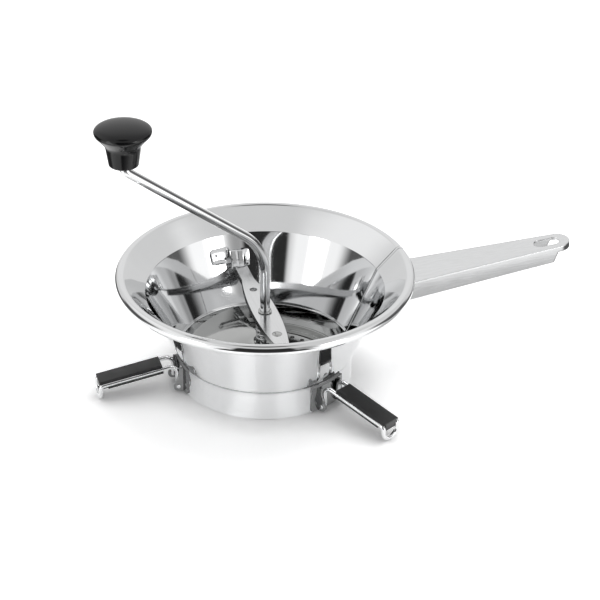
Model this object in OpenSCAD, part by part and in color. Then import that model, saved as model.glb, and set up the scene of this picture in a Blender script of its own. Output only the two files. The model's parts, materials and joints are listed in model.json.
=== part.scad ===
// Hand-cranked food mill: a flared sheet bowl on three folding wire legs, with a
// channel handle, a perforated disc, and a cranked pressing blade under a crossbar.
// Origin: centre of the bowl's base ring. +X runs along the handle, +Z is up.

/* [Bowl] */
// Outer radius of the rolled rim
rim_r = 96.4; // [92:0.1:104]
// Height of the top of the rolled rim
rim_top = 77.8; // [75:0.1:84]
// Radius of the curl that rolls the rim's edge, at the middle of the sheet
rim_curl_r = 3.2; // [2:0.1:3.6]
// Angle through which the rim's edge is rolled
rim_curl_turn = 215; // [150:1:230]
// Outer radius where the cone opens into the flare
throat_r = 78; // [74:0.1:82]
// Height where the cone opens into the flare
throat_z = 64; // [60:0.1:67]
// Outer radius of the cone's foot
cone_foot_r = 57.8; // [56:0.1:60]
// Height of the step between the band and the cone
step_z = 20; // [18:0.1:24]
// Outer radius of the straight band under the cone
band_r = 56.8; // [55:0.1:57.4]
// Inner radius of the lip that carries the disc
lip_r = 49; // [44:0.5:51]
// Thickness of the bowl's sheet
bowl_t = 0.8; // [0.6:0.1:1.2]
// Bend radius at the bowl's folds, at the middle of the sheet
bowl_bend_r = 1.6; // [1:0.1:2.5]

/* [Handle] */
// Distance from the bowl's axis to the handle's tip
handle_tip_x = 209; // [180:0.1:240]
// Width of the handle at the bowl
handle_root_w = 34.4; // [28:0.1:38]
// Width of the handle at its rounded tip
handle_tip_w = 17.2; // [15:0.1:24]
// Height of the handle's top face at the bowl's axis
handle_z0 = 55.3; // [53:0.1:58]
// Rise of the handle above level, in degrees
handle_rise = 4.6; // [0:0.1:6]
// Thickness of the handle's sheet
handle_t = 1.2; // [0.8:0.1:2]
// Depth of the side flanges at the bowl
handle_root_h = 14; // [10:0.1:16]
// Depth of the side flanges before the tip
handle_tip_h = 11; // [8:0.1:14]
// Depth of the lip round the tip
handle_lip_h = 4; // [2:0.1:6]
// Length of the handle's straight sides that has only the lip
handle_lip_len = 1.7; // [0:0.1:10]
// Length of the hanging slot
slot_len = 17.5; // [12:0.1:24]
// Width of the hanging slot
slot_w = 8.6; // [6:0.1:11]
// Metal between the slot and the tip
slot_edge = 6.8; // [4:0.1:12]
// Length along the wall of each weld tab at the handle's root
tab_len = 9; // [6:0.1:14]
// Height of the weld tabs
tab_h = 11; // [8:0.1:13]

/* [Disc] */
// Thickness of the perforated disc
disc_t = 0.8; // [0.6:0.1:1.2]
// Height of the disc's turned-up edge
disc_edge_h = 5; // [4:0.1:8]
// Rise of the disc's flat middle above the lip
disc_raise = 2.2; // [1:0.1:4]
// Radius of the disc's flat middle
disc_flat_r = 47; // [42:0.1:49]
// Diameter of the disc's holes
hole_d = 3; // [1.5:0.1:4]
// Radius of the innermost ring of holes
hole_first_r = 11.4; // [9:0.1:14]
// Spacing of the rings of holes
hole_pitch = 6.4; // [5.4:0.1:8]
// Number of rings of holes
hole_rings = 6; // [3:1:6]
// Holes in the innermost ring; each further ring has as many more
hole_step = 6; // [4:1:6]

/* [Crossbar] */
// Height of the crossbar's top face
bar_top = 47; // [42:0.1:50]
// Width of the crossbar in the middle
bar_mid_w = 16.5; // [14:0.1:22]
// Width of the crossbar at its ends
bar_end_w = 8.4; // [7:0.1:11]
// Distance from the axis where the crossbar's sides become parallel
bar_waist_y = 44; // [34:0.5:50]
// Thickness of the crossbar's sheet
bar_t = 1.5; // [1:0.1:2]
// Depth of the crossbar's turned-down edges
bar_edge_h = 4.5; // [3:0.1:6]
// Length of the turned-down edges
bar_edge_len = 112; // [90:1:116]
// Distance of the crossbar's side holes from the axis
bar_hole_y = 29.6; // [20:0.1:40]
// Diameter of the crossbar's side holes
bar_hole_d = 5; // [3:0.1:6]
// Thickness of the hooks' sheet
hook_t = 1.2; // [1:0.1:1.6]
// Width of a hook's strap along the wall
hook_w = 12.6; // [10:0.1:16]
// Width of a hook's weld plate along the wall
hook_plate_w = 13; // [10:0.1:18]
// Height of a hook's strap
hook_h = 9.7; // [6:0.1:12]
// Distance of a hook's web from the crossbar's side
hook_side_gap = 1.6; // [1:0.1:3]
// Distance that a hook's strap stands off the wall
hook_reach = 6; // [4:0.1:8]

/* [Crank] */
// Diameter of the crank's rod
rod_d = 6.5; // [5:0.1:8]
// Direction of the crank's arm, in degrees from the handle
crank_azimuth = 196; // [0:1:359]
// Distance from the shaft to the knob's axis
crank_r = 98.8; // [80:0.1:110]
// Height where the lines of the shaft and the arm cross
crank_corner_z = 94.5; // [88:0.1:104]
// Bend radius at the top of the shaft
crank_bend_r = 42; // [20:1:44]
// Bend radius under the knob
knob_bend_r = 7; // [5:0.5:10]
// Diameter of the shaft's pilot in the disc
pilot_d = 4.8; // [4:0.1:5.5]

/* [Knob] */
// Height of the knob's underside
knob_z = 179; // [165:0.5:190]
// Height of the knob
knob_h = 26.6; // [25:0.1:34]
// Diameter of the knob's cap
knob_d = 35.4; // [32:0.1:42]
// Height of the cap's dome above its widest ring
knob_dome_h = 4.4; // [3:0.1:6]
// Depth of the cap's underside below its widest ring
knob_under_h = 6.4; // [4:0.1:8]
// Diameter of the knob's stem where it meets the cap
knob_neck_d = 27; // [22:0.1:30]
// Diameter of the knob's stem at its foot
knob_foot_d = 16.6; // [14:0.1:20]
// Bend radius of the foot's edge
knob_edge_r = 1.5; // [0.5:0.1:2.5]
// Depth of the knob's bore
knob_bore_h = 20; // [12:0.5:21]

/* [Blade] */
// Outer radius of the pressing blade
blade_r = 52; // [46:0.1:53]
// Thickness of the blade
blade_t = 1.4; // [1:0.1:2]
// Angle that the blade covers
blade_turn = 200; // [150:5:240]
// Rise of the blade from its pressing edge to its feeding edge
blade_rise = 17; // [10:0.5:18]
// Angle of the blade's feeding edge, in degrees from the handle
blade_azimuth = 95; // [-180:5:180]
// Diameter of the blade's hub
hub_d = 14; // [12:0.1:18]
// Height of the hub above the disc
hub_h = 20.5; // [19:0.5:22]

/* [Spring] */
// Diameter of the spring's wire
spring_wire_d = 1.4; // [1:0.1:1.8]
// Outer diameter of the spring
spring_d = 12.4; // [11.4:0.1:15]
// Number of turns of the spring
spring_turns = 6; // [4:1:8]
// Diameter of the washer under the spring
washer_d = 15; // [13:0.1:18]
// Thickness of the washer under the spring
washer_t = 1.2; // [0.8:0.1:2]

/* [Legs] */
// Diameter of the legs' wire
wire_d = 3; // [2.5:0.1:3.5]
// Spacing of the two wires of a leg, between their middles
wire_gap = 12.4; // [11:0.1:14]
// Distance of a leg's hinge from the band
hinge_out = 3.5; // [3.2:0.1:6]
// Height of a leg's hinge
hinge_z = 5; // [4.6:0.1:7]
// Height of a leg's knee, where its wires turn outwards
knee_z = 19.4; // [17:0.1:20]
// Bend radius at the knee
knee_bend_r = 5; // [4:0.1:6]
// Distance from a leg's hinge to its foot, square to the band
leg_reach = 50.7; // [40:0.1:60]
// Height where a leg's wires turn down to the foot
foot_corner_z = 11.3; // [10:0.1:12]
// Bend radius where the wires turn down to the foot
foot_bend_r = 2.5; // [2:0.1:3]
// Distance from the knee's corner to the grip
grip_gap = 9.8; // [7:0.1:14]
// How far the grip reaches past the corner over the foot
grip_over = 0.5; // [0:0.1:1.4]
// Length at the grip's outer end that leaves the turned-down wires free
grip_relief = 4.6; // [4:0.1:8]
// Width of a grip
grip_w = 14; // [13:0.1:16]
// Thickness of a grip above the middle of its wires
grip_above = 2.8; // [2:0.1:4]
// Thickness of a grip below the middle of its wires
grip_below = 3.6; // [2.5:0.1:3.6]
// Width of the slope along a grip's top edges
grip_edge = 1.2; // [0.4:0.1:1.2]
// Thickness of the legs' brackets
bracket_t = 1.2; // [1:0.1:1.5]
// Width of a bracket's plate
bracket_w = 27; // [24:0.5:34]
// Height of a bracket's plate
bracket_h = 17; // [15:0.1:17.4]
// Radial depth of metal round a hinge's pin
ear_rim = 1.8; // [1.4:0.1:2.2]
// Angle between one leg and the next
leg_spacing = 120; // [100:1:130]

/* [Clearances] */
// Gap between welded or seated pieces of one body
seat_gap = 0.05; // [0.02:0.01:0.1]
// Radial clearance of a shaft or pin that turns in its hole
running_gap = 0.06; // [0.02:0.01:0.1]
// Gap between pieces that move past each other
moving_gap = 0.3; // [0.2:0.05:0.5]

/* [Hidden] */
$fn = 96;

steel = [0.80, 0.81, 0.82];
dark_plastic = [0.10, 0.10, 0.11];
cut = 1;
up = [0, 0, 1];
bend_reach = 0.05;
bend_slack = 0.02;

// The bowl's sheet, followed along its middle from the lip to the rolled edge
band_mid_r = band_r - bowl_t / 2;
curl_mid = [rim_r - rim_curl_r - bowl_t / 2, rim_top - rim_curl_r - bowl_t / 2];
throat_mid = [throat_r - bowl_t / 2, throat_z];
throat_to_curl = curl_mid - throat_mid;
flare_angle = atan2(throat_to_curl[1], throat_to_curl[0]) + asin(rim_curl_r / norm(throat_to_curl));
cone_foot_z = step_z + bowl_bend_r;
curl_step = rim_curl_turn / 11;
bowl_fold_r = 0.6 * bowl_bend_r;
cone_slope = (throat_r - cone_foot_r) / (throat_z - cone_foot_z);

// The handle is drawn into the bowl before it is cut back to the wall
handle_inside = 10;
notch_lean = 0.5;
tab_drop = 0.5;
tab_turn = 40;

// The disc lies on the lip
disc_z = bowl_t + seat_gap;
disc_r = band_r - bowl_t - moving_gap;
disc_top = disc_z + disc_raise + disc_t;
disc_fold_r = 0.8;
disc_overlap = 1;

// The shaft's pieces, stacked from the disc up to the crossbar
hub_z = disc_top + moving_gap;
hub_top = hub_z + hub_h;
washer_z = hub_top + seat_gap;
washer_top = washer_z + washer_t;
bar_under = bar_top - bar_t;
spring_z = washer_top + seat_gap;
spring_h = bar_under - seat_gap - spring_z;
clip_t = 0.8;
clip_rim = 1.2;
clip_slot = 1.2;

// The crossbar stops short of the wall, and its ends lie under the hooks
bar_end_r = wall_r(bar_under) - hook_t - seat_gap - moving_gap;
bar_side_r = (pow(bar_waist_y, 2) + pow((bar_mid_w - bar_end_w) / 2, 2)) / (bar_mid_w - bar_end_w);
rivet_rim = 0.8;
rivet_rise = 0.9;
rivet_tail = 0.6;
hook_over = bar_top + moving_gap;
hook_top = hook_over + hook_h;

// The crank's arm rises from the shaft's corner to the knob's axis
knob_corner_z = knob_z - 0.6 * knob_bend_r;
knob_wide_z = knob_h - knob_dome_h;
bore_end_gap = 1;
knob_neck_turn = acos(knob_neck_d / knob_d);
knob_neck_z = knob_wide_z - knob_under_h * sin(knob_neck_turn);
arm_out = [cos(crank_azimuth), sin(crank_azimuth), 0];

// Each leg is drawn at azimuth 0 and turned to its place
leg_azimuths = [leg_spacing / 2, 180, -leg_spacing / 2];
hinge_r = band_r + hinge_out;
foot_r = hinge_r + leg_reach;
knee = [hinge_r, 0, knee_z];
foot_corner = [foot_r, 0, foot_corner_z];
arm_dir = unit(foot_corner - knee);
arm_len = norm(foot_corner - knee);
arm_drop = atan2(knee_z - foot_corner_z, foot_r - hinge_r);
grip_len = arm_len + grip_over - grip_gap;
ear_y = wire_gap / 2 + wire_d / 2 + moving_gap;
grip_foot = 1;
core = (wire_gap - wire_d) / 2 - 2 * seat_gap;
pin_proud = 0.4;
ear_front = 0.4;
ear_neck = 5;
ear_turn = 50;
bracket_drop = 1.6;
pin_bend_r = wire_d / 2 + moving_gap;

// ---- small geometry helpers ----

function unit(v) = v / norm(v);

// Radius of the bowl's cone at height z, off the middle of its sheet by d
function cone_r(z, d) =
    cone_foot_r - bowl_t / 2 + (z - cone_foot_z) * cone_slope + d * sqrt(1 + pow(cone_slope, 2));

// Inner and outer radius of the bowl's cone at height z
function wall_r(z) = cone_r(z, -bowl_t / 2);
function outer_r(z) = cone_r(z, bowl_t / 2);

// Points along an arc
function arc(c, r, a0, a1, n = 8) =
    [for (i = [0:n]) let (a = a0 + (a1 - a0) * i / n) c + r * [cos(a), sin(a)]];

// The corner p between a and b, rounded with radius r
function corner(a, p, b, r, n = 6) =
    let (u = unit(a - p), v = unit(b - p), half = acos(u * v) / 2,
         c = p + unit(u + v) * r / sin(half),
         from = atan2((p + u * r / tan(half) - c)[1], (p + u * r / tan(half) - c)[0]),
         turn = (u[0] * v[1] - u[1] * v[0] > 0 ? -1 : 1) * (180 - 2 * half))
    arc(c, r, from, from + turn, n);

// A path with every inner corner rounded with radius r
function rounded(path, r) =
    [path[0], for (i = [1:len(path) - 2]) each corner(path[i - 1], path[i], path[i + 1], r),
     path[len(path) - 1]];

// The path moved sideways by d, to the left of its direction
function beside(path, d) =
    [for (i = [0:len(path) - 1])
        let (last = len(path) - 1,
             a = unit(path[min(i + 1, last)] - path[min(i, last - 1)]),
             b = unit(path[max(i, 1)] - path[max(i - 1, 0)]),
             n = unit([-a[1] - b[1], a[0] + b[0]]))
        path[i] + n * d / (n * [-a[1], a[0]])];

// The outline of a sheet of thickness t along a path through its middle
function sheet(path, t) =
    let (left = beside(path, t / 2), right = beside(path, -t / 2), last = len(path) - 1)
    concat(right, [for (i = [last:-1:0]) left[i]]);

// Moves the children's Z axis onto the line from a to b
module along(a, b) {
    d = b - a;
    translate(a) rotate([0, acos(d[2] / norm(d)), atan2(d[1], d[0])]) children();
}

module rod(a, b, d) {
    along(a, b) cylinder(d = d, h = norm(b - a));
}

// Part of a ring of radius r in a rod of diameter d, from the X axis towards the Y axis.
// It is a hair thinner than the straight rods and reaches into them, so that they join.
module bend(r, d, angle) {
    reach = bend_reach / r * 180 / PI;
    rotate([0, 0, -reach]) rotate_extrude(angle = angle + 2 * reach)
        translate([r, 0]) circle(d = d - bend_slack);
}

// A bend of radius r in a rod of diameter d, at the corner p between a and b
module elbow(a, p, b, r, d) {
    u = unit(a - p);
    v = unit(b - p);
    half = acos(u * v) / 2;
    c = p + unit(u + v) * r / sin(half);
    x = unit(p + u * r / tan(half) - c);
    y = -u;
    z = cross(x, y);
    multmatrix([[x[0], y[0], z[0], c[0]], [x[1], y[1], z[1], c[1]], [x[2], y[2], z[2], c[2]]])
        bend(r, d, 180 - 2 * half);
}

// How far a bend of radius r at p shortens the sides towards a and b
function setback(a, p, b, r) = r / tan(acos(unit(a - p) * unit(b - p)) / 2);

// A rod bent at each inner corner of a path, with one bend radius for each corner
module bent_rod(path, radii, d) {
    last = len(path) - 1;
    cut_at = [for (i = [0:last])
        i == 0 || i == last ? 0 : setback(path[i - 1], path[i], path[i + 1], radii[i - 1])];
    for (i = [0:last - 1]) {
        dir = unit(path[i + 1] - path[i]);
        rod(path[i] + dir * cut_at[i], path[i + 1] - dir * cut_at[i + 1], d);
    }
    for (i = [1:last - 1]) elbow(path[i - 1], path[i], path[i + 1], radii[i - 1], d);
}

// A patch of sheet that follows the inside of the cone, off it by gap
module wall_patch(z0, z1, gap, t, from, to) {
    rotate([0, 0, from]) rotate_extrude(angle = to - from)
        polygon([[wall_r(z0) - gap - t, z0], [wall_r(z0) - gap, z0],
                 [wall_r(z1) - gap, z1], [wall_r(z1) - gap - t, z1]]);
}

// ---- bowl ----

function bowl_path() =
    let (foot = [cone_foot_r - bowl_t / 2, cone_foot_z],
         flare_end = curl_mid + rim_curl_r * [-sin(flare_angle), cos(flare_angle)])
    concat(
        rounded([[lip_r, bowl_t / 2], [band_mid_r, bowl_t / 2], [band_mid_r, step_z],
                 foot, throat_mid, flare_end], bowl_fold_r),
        arc(curl_mid, rim_curl_r, 90 + flare_angle - curl_step, 90 + flare_angle - rim_curl_turn, 10));

module bowl_shell() {
    color(steel) rotate_extrude() polygon(sheet(bowl_path(), bowl_t));
}

// The space inside the bowl's outer surface, grown by gap
module bowl_space(gap) {
    off = bowl_t / 2 + gap;
    throat = throat_mid + off * [sin(flare_angle), -cos(flare_angle)];
    rotate_extrude() polygon([[0, cone_foot_z], [cone_r(cone_foot_z, off), cone_foot_z],
                              [cone_r(throat[1], off), throat[1]],
                              [rim_r, throat[1] + (rim_r - throat[0]) * tan(flare_angle)],
                              [rim_r, 2 * rim_top], [0, 2 * rim_top]]);
}

// ---- handle ----

module handle_outline(inset) {
    r = handle_tip_w / 2;
    root_x = throat_r - handle_inside;
    taper = asin((handle_root_w - handle_tip_w) / 2 / (handle_tip_x - r - root_x));
    polygon(concat([[root_x, handle_root_w / 2 - inset]],
                   arc([handle_tip_x - r, 0], r - inset, 90 - taper, taper - 90, 16),
                   [[root_x, inset - handle_root_w / 2]]));
}

module handle_channel() {
    lip_x = handle_tip_x - handle_lip_len - handle_tip_w / 2;
    under = [[0, -handle_root_h], [lip_x - notch_lean * (handle_tip_h - handle_lip_h), -handle_tip_h],
             [lip_x, -handle_lip_h], [handle_tip_x + cut, -handle_lip_h],
             [handle_tip_x + cut, -2 * handle_root_h], [0, -2 * handle_root_h]];
    slot_r = slot_w / 2;
    slot_end_x = handle_tip_x - slot_edge - slot_r;
    difference() {
        translate([0, 0, -handle_root_h - cut]) linear_extrude(handle_root_h + cut) handle_outline(0);
        translate([0, 0, -handle_root_h - 2 * cut])
            linear_extrude(handle_root_h + 2 * cut - handle_t) handle_outline(handle_t);
        rotate([90, 0, 0]) translate([0, 0, -handle_root_w])
            linear_extrude(2 * handle_root_w) polygon(under);
        for (x = [slot_end_x, slot_end_x - slot_len + slot_w])
            translate([x, 0, -handle_t - cut]) cylinder(r = slot_r, h = handle_t + 2 * cut);
        translate([slot_end_x - slot_len + slot_w, -slot_r, -handle_t - cut])
            cube([slot_len - slot_w, slot_w, handle_t + 2 * cut]);
    }
}

// A tab at the handle's root, bent out to lie against the cone
module handle_tab(side) {
    z1 = handle_z0 + throat_r * sin(handle_rise) - handle_t - tab_drop;
    z0 = z1 - tab_h;
    r0 = outer_r(z0) + seat_gap;
    r1 = outer_r(z1) + seat_gap;
    y0 = handle_root_w / 2 - handle_t;
    intersection() {
        rotate([0, 0, -tab_turn]) rotate_extrude(angle = 2 * tab_turn)
            polygon([[r0, z0], [r0 + handle_t, z0], [r1 + handle_t, z1], [r1, z1]]);
        translate([r0 / 2, side > 0 ? y0 : -y0 - tab_len, z0])
            cube([r0, tab_len, tab_h]);
    }
}

module handle() {
    color(steel) {
        difference() {
            translate([0, 0, handle_z0]) rotate([0, -handle_rise, 0]) handle_channel();
            bowl_space(seat_gap);
        }
        for (side = [-1, 1]) handle_tab(side);
    }
}

// ---- disc ----

module grid_disc() {
    edge_r = disc_r - disc_t / 2;
    seat_z = disc_z + disc_t / 2;
    middle_z = disc_top - disc_t / 2;
    plate_r = disc_flat_r - disc_overlap;
    path = rounded([[plate_r, middle_z], [disc_flat_r, middle_z], [disc_flat_r + 2 * disc_raise, seat_z],
                    [edge_r, seat_z], [edge_r, disc_z + disc_edge_h]], disc_fold_r);
    color(steel) {
        rotate_extrude() polygon(sheet(path, disc_t));
        translate([0, 0, disc_top - disc_t]) linear_extrude(disc_t) difference() {
            circle(plate_r);
            circle(d = pilot_d + 2 * running_gap);
            for (ring = [1:hole_rings], k = [0:ring * hole_step - 1])
                rotate((k + ring / 2) * 360 / (ring * hole_step))
                    translate([hole_first_r + (ring - 1) * hole_pitch, 0]) circle(d = hole_d);
        }
    }
}

// ---- crossbar and its hooks ----

// The crossbar's outline: a lens in the middle, and two straight ends
module bar_outline(inset) {
    intersection() {
        circle(bar_end_r);
        union() {
            square([bar_end_w - 2 * inset, 2 * bar_end_r + cut], center = true);
            intersection() {
                translate([bar_side_r - bar_mid_w / 2, 0]) circle(bar_side_r - inset, $fn = 720);
                translate([bar_mid_w / 2 - bar_side_r, 0]) circle(bar_side_r - inset, $fn = 720);
            }
        }
    }
}

module crossbar() {
    color(steel) difference() {
        union() {
            translate([0, 0, bar_under]) linear_extrude(bar_t) bar_outline(0);
            intersection() {
                translate([0, 0, bar_top - bar_edge_h]) linear_extrude(bar_edge_h) difference() {
                    bar_outline(0);
                    bar_outline(bar_t);
                }
                cube([bar_mid_w + 2 * cut, bar_edge_len, 4 * bar_top], center = true);
            }
        }
        translate([0, 0, bar_under - cut]) cylinder(d = rod_d + 2 * running_gap, h = bar_t + 2 * cut);
        for (side = [-1, 1])
            translate([0, side * bar_hole_y, bar_under - cut]) cylinder(d = bar_hole_d, h = bar_t + 2 * cut);
    }
}

module bar_rivet() {
    head_d = bar_hole_d + 2 * rivet_rim;
    color(steel) translate([0, -bar_hole_y, 0]) {
        translate([0, 0, bar_under]) cylinder(d = bar_hole_d - 2 * seat_gap, h = bar_t);
        translate([0, 0, bar_top]) intersection() {
            cylinder(d = head_d, h = rivet_rise);
            translate([0, 0, rivet_rise - head_d]) sphere(head_d);
        }
        translate([0, 0, bar_under - rivet_tail]) cylinder(d = head_d, h = rivet_tail);
    }
}

// A hook: a plate on the cone, and a strap that stands off it over the bar's end
module hook(turn) {
    degree = 180 / PI / wall_r(bar_top);
    edge = 90 + (bar_end_w / 2 + hook_side_gap) * degree;
    plate_end = edge + hook_plate_w * degree;
    web = hook_t * degree;
    color(steel) rotate([0, 0, turn]) {
        wall_patch(hook_over, hook_top, seat_gap, hook_t, edge + web / 2, plate_end);
        wall_patch(bar_under, hook_top, seat_gap, hook_reach + hook_t, edge, edge + web);
        wall_patch(hook_over, hook_top, seat_gap + hook_reach, hook_t, edge - hook_w * degree, edge + web / 2);
    }
}

module hook_1() { hook(0); }
module hook_2() { hook(180); }

// ---- spring and washer ----

module spring() {
    r = (spring_d - spring_wire_d) / 2;
    per_turn = 16;
    sides = 8;
    steps = spring_turns * per_turn;
    rise = spring_h - spring_wire_d;
    ring = [for (i = [0:steps]) let (a = 360 * i / per_turn,
                                     z = spring_z + spring_wire_d / 2 + rise * i / steps)
        for (k = [0:sides - 1]) let (b = 360 * k / sides, o = r + spring_wire_d / 2 * cos(b))
            [o * cos(a), o * sin(a), z + spring_wire_d / 2 * sin(b)]];
    skin = [for (i = [0:steps - 1], k = [0:sides - 1])
        [i * sides + k, i * sides + (k + 1) % sides,
         (i + 1) * sides + (k + 1) % sides, (i + 1) * sides + k]];
    ends = [[for (k = [sides - 1:-1:0]) k], [for (k = [0:sides - 1]) steps * sides + k]];
    color(steel) polyhedron(ring, concat(skin, ends));
}

module spring_washer() {
    color(steel) translate([0, 0, washer_z]) difference() {
        cylinder(d = washer_d, h = washer_t);
        translate([0, 0, -cut]) cylinder(d = rod_d + 2 * running_gap, h = washer_t + 2 * cut);
    }
}

// ---- crank ----

module crank_rod() {
    start = [0, 0, hub_z];
    bend = [0, 0, crank_corner_z];
    knob_bend = arm_out * crank_r + up * knob_corner_z;
    end = arm_out * crank_r + up * (knob_z + knob_bore_h - bore_end_gap);
    color(steel) {
        bent_rod([start, bend, knob_bend, end], [crank_bend_r, knob_bend_r], rod_d);
        translate([0, 0, disc_z]) cylinder(d = pilot_d, h = hub_z - disc_z);
    }
}

module shaft_clip() {
    color(steel) translate([0, 0, bar_top + moving_gap]) difference() {
        cylinder(d = rod_d + 2 * clip_rim, h = clip_t);
        translate([0, 0, -cut]) cylinder(d = rod_d + 2 * seat_gap, h = clip_t + 2 * cut);
        translate([0, -clip_slot / 2, -cut]) cube([rod_d, clip_slot, clip_t + 2 * cut]);
    }
}

// ---- blade ----

module blade_hub() {
    color(steel) translate([0, 0, hub_z]) difference() {
        cylinder(d = hub_d, h = hub_h);
        translate([0, 0, -cut]) cylinder(d = rod_d + 2 * seat_gap, h = hub_h + 2 * cut);
    }
}

// Height of the blade's underside, a share s of the way from its pressing edge
function blade_under(s) = disc_top + moving_gap + blade_rise * pow(s, 1.2);

module blade() {
    across = 5;
    steps = 28;
    r0 = hub_d / 2 + seat_gap;
    row = 2 * (across + 1);
    points = [for (i = [0:steps]) let (s = i / steps, a = blade_azimuth + blade_turn * (1 - s))
        for (face = [0, 1], j = [0:across])
            let (r = r0 + (blade_r - r0) * (face == 0 ? j : across - j) / across)
            [r * cos(a), r * sin(a), blade_under(s) + face * blade_t]];
    skin = [for (i = [0:steps - 1], k = [0:row - 1])
        let (a = i * row + k, b = i * row + (k + 1) % row)
        each [[a, b + row, a + row], [a, b, b + row]]];
    ends = [for (j = [0:across - 1])
        let (a = j, b = j + 1, c = row - 2 - j, d = row - 1 - j, far = steps * row)
        each [[a, c, b], [a, d, c], [far + a, far + b, far + c], [far + a, far + c, far + d]]];
    color(steel) polyhedron(points, concat(skin, ends));
}

// ---- knob ----

// Radius of the knob's stem at height z
function stem_r(z) =
    let (share = (z - knob_edge_r) / (knob_neck_z - knob_edge_r))
    knob_foot_d / 2 + (knob_neck_d - knob_foot_d) / 2 * pow(share, 0.8);

module knob() {
    r = knob_d / 2;
    foot = knob_foot_d / 2 - knob_edge_r;
    stem = [for (i = [1:7]) let (z = knob_edge_r + (knob_neck_z - knob_edge_r) * i / 8) [stem_r(z), z]];
    under = [for (i = [0:6]) let (a = -knob_neck_turn * (1 - i / 6))
        [r * cos(a), knob_wide_z + knob_under_h * sin(a)]];
    dome = [for (i = [1:10]) let (a = 90 * i / 10)
        [i == 10 ? 0 : r * cos(a), knob_wide_z + knob_dome_h * sin(a)]];
    outline = concat([[0, 0]], arc([foot, knob_edge_r], knob_edge_r, -90, 0, 4), stem, under, dome);
    color(dark_plastic) translate(arm_out * crank_r + up * knob_z) difference() {
        rotate_extrude() polygon(outline);
        translate([0, 0, -cut]) cylinder(d = rod_d + 2 * running_gap, h = knob_bore_h + cut);
    }
}

// ---- legs ----

module at_leg(n) {
    rotate([0, 0, leg_azimuths[n - 1]]) children();
}

// A leg's wire: two bent sides from their journals in the bracket to the foot that joins them
module leg_wire(n) {
    foot_z = wire_gap / 2 + wire_d / 2;
    journal = ear_y + bracket_t + pin_proud;
    color(steel) at_leg(n) {
        for (side = [-1, 1]) {
            y = side * wire_gap / 2;
            out = [0, side * journal, 0];
            bent_rod([[hinge_r, 0, hinge_z] + out, [hinge_r, y, hinge_z], knee + [0, y, 0],
                      foot_corner + [0, y, 0], [foot_r, y, foot_z]],
                     [pin_bend_r, knee_bend_r, foot_bend_r], wire_d);
        }
        translate([foot_r, 0, foot_z]) rotate([0, 90, 0]) rotate([0, 0, -90])
            bend(wire_gap / 2, wire_d, 180);
    }
}

// A grip moulded round the arm's two wires, which lie in grooves along its sides
module leg_grip(n) {
    half = grip_w / 2;
    top = grip_above;
    groove = wire_d + 2 * seat_gap;
    relief = arm_len - grip_relief;
    color(dark_plastic) at_leg(n) translate(knee) rotate([0, arm_drop, 0]) difference() {
        translate([grip_gap, 0, 0]) rotate([90, 0, 90]) linear_extrude(grip_len)
            polygon([[grip_foot - half, -grip_below], [half - grip_foot, -grip_below],
                     [half, grip_foot - grip_below], [half, top - grip_edge], [half - grip_edge, top],
                     [grip_edge - half, top], [-half, top - grip_edge], [-half, grip_foot - grip_below]]);
        for (side = [-1, 1]) {
            translate([grip_gap - cut, side * wire_gap / 2, 0]) rotate([0, 90, 0])
                cylinder(d = groove, h = grip_len + 2 * cut);
            translate([grip_gap - cut, side * wire_gap / 2 + (side < 0 ? -grip_w : 0), -groove / 2])
                cube([grip_len + 2 * cut, grip_w, groove]);
            translate([relief, side > 0 ? core : -core - grip_w, -2 * grip_below])
                cube([grip_relief + grip_over + cut, grip_w, 2 * grip_below + groove / 2]);
        }
    }
}

// A bracket: a plate round the band, with two ears that hold the wire's journals
module bracket(n) {
    r0 = band_r + seat_gap;
    z0 = step_z - bracket_drop - bracket_h;
    half = asin(bracket_w / 2 / r0);
    lobe_r = wire_d / 2 + ear_rim;
    front = hinge_r - ear_front;
    ear = concat([[r0 - cut, z0], [hinge_r - cut, z0]],
                 arc([hinge_r, hinge_z], lobe_r, -90, 90 - ear_turn, 12),
                 [[front, hinge_z + lobe_r + ear_neck], [front, z0 + bracket_h],
                  [r0 - cut, z0 + bracket_h]]);
    color(steel) at_leg(n) {
        rotate([0, 0, -half]) rotate_extrude(angle = 2 * half)
            translate([r0, z0]) square([bracket_t, bracket_h]);
        for (side = [-1, 1]) difference() {
            translate([0, side > 0 ? ear_y + bracket_t : -ear_y, 0]) rotate([90, 0, 0])
                linear_extrude(bracket_t) polygon(ear);
            translate([hinge_r, -2 * ear_y, hinge_z]) rotate([-90, 0, 0])
                cylinder(d = wire_d + 2 * running_gap, h = 4 * ear_y);
            cylinder(r = r0, h = 2 * step_z);
        }
    }
}

module bracket_1() { bracket(1); }
module bracket_2() { bracket(2); }
module bracket_3() { bracket(3); }
module leg_wire_1() { leg_wire(1); }
module leg_wire_2() { leg_wire(2); }
module leg_wire_3() { leg_wire(3); }
module leg_grip_1() { leg_grip(1); }
module leg_grip_2() { leg_grip(2); }
module leg_grip_3() { leg_grip(3); }

bowl_shell();
handle();
hook_1();
hook_2();
bracket_1();
bracket_2();
bracket_3();
grid_disc();
crossbar();
bar_rivet();
spring();
spring_washer();
crank_rod();
shaft_clip();
blade_hub();
blade();
knob();
leg_wire_1();
leg_wire_2();
leg_wire_3();
leg_grip_1();
leg_grip_2();
leg_grip_3();
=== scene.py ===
"""A hand-cranked food mill: sheet bowl, channel handle, folding legs, sprung crossbar and crank."""
import json
import math

import bpy
from mathutils import Matrix, Vector


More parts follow.
